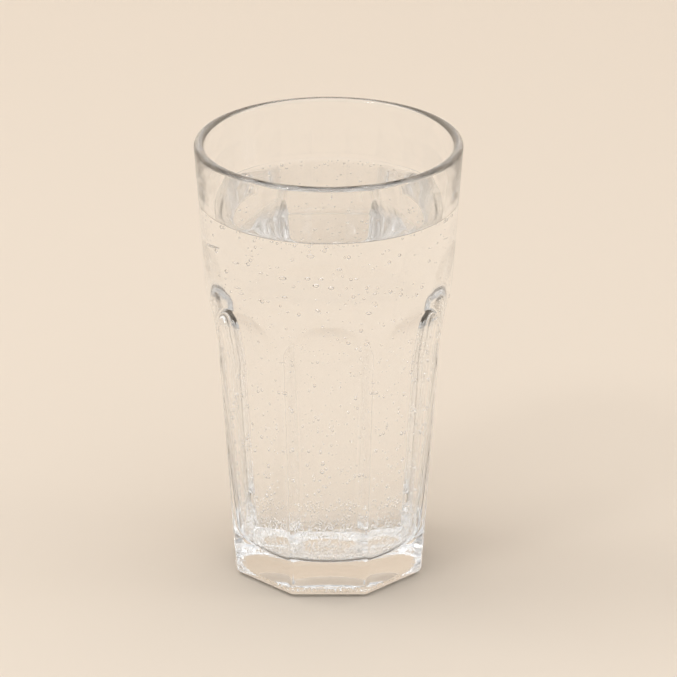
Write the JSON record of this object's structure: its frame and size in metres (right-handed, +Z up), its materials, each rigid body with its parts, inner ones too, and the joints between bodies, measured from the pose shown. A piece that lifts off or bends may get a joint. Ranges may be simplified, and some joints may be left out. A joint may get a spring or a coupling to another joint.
{
  "type": "glass of sparkling water",
  "caption": "A clear tapered drinking glass with arch-topped flat panels and a thick base, filled with sparkling water to below the rim",
  "frame": {"origin": "the middle of the underside, where the axis meets the table", "axes": "+Z up along the glass's axis; -Y looks out of the panel that faces the viewer, +X to the viewer's right"},
  "size_m": [0.0824, 0.0824, 0.14],
  "materials": {
    "glass": "clear polished pressed glass",
    "water": "clear sparkling water with fine bubbles"
  },
  "bodies": {
    "root": {"tumbler": "glass", "water": "water"}
  },
  "joints": []
}
